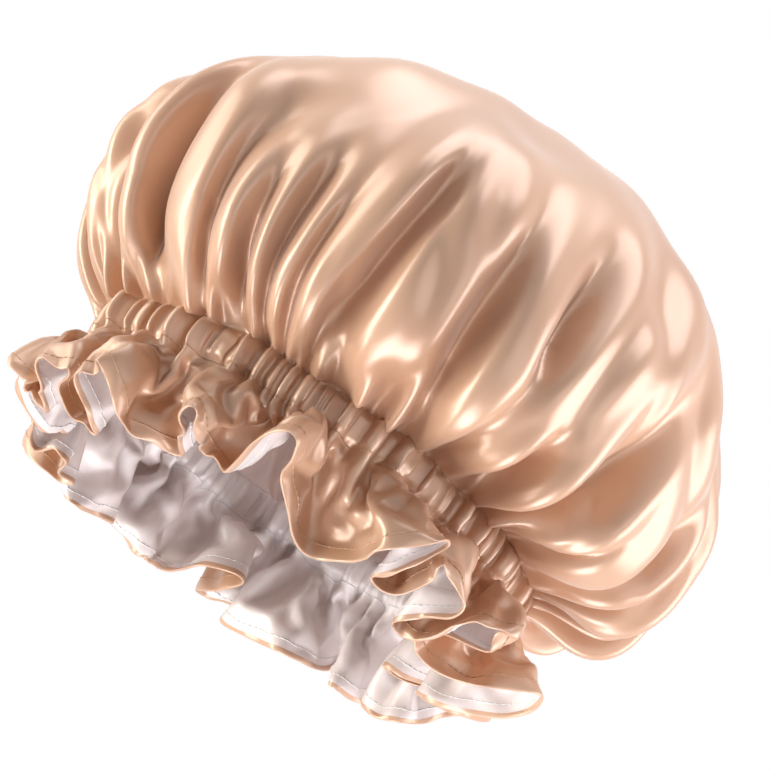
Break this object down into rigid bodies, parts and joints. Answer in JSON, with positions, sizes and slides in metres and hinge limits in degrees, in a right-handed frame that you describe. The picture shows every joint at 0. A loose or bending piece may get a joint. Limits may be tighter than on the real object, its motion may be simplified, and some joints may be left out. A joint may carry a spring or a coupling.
{
  "type": "satin hair bonnet",
  "caption": "Gathered satin hair bonnet: a full gold crown with a white lining, drawn in by elastic in a stitched casing above a ruffled hem; keeps hair covered in sleep.",
  "frame": {"origin": "middle of the head opening, on the plane that the hem's lowest points stand on", "axes": "+Z along the bonnet's axis, from the head opening to the top of the crown; +X towards the side on which the crown hangs fuller and lower; -Y towards the side that the picture shows"},
  "size_m": [0.2691, 0.2729, 0.1992],
  "materials": {
    "gold_satin": "glossy satin weave",
    "white_satin": "glossy satin weave",
    "elastic": "matt knitted elastic",
    "gold_thread": "twisted thread",
    "white_thread": "twisted thread"
  },
  "bodies": {
    "root": {"outer_satin": "gold_satin", "lining_satin": "white_satin", "elastic_band": "elastic", "elastic_lap_tack": "white_thread", "hem_needle_thread": "gold_thread", "hem_bobbin_thread": "white_thread", "lower_casing_needle_thread": "gold_thread", "lower_casing_bobbin_thread": "white_thread", "upper_casing_needle_thread": "gold_thread", "upper_casing_bobbin_thread": "white_thread"}
  },
  "joints": []
}
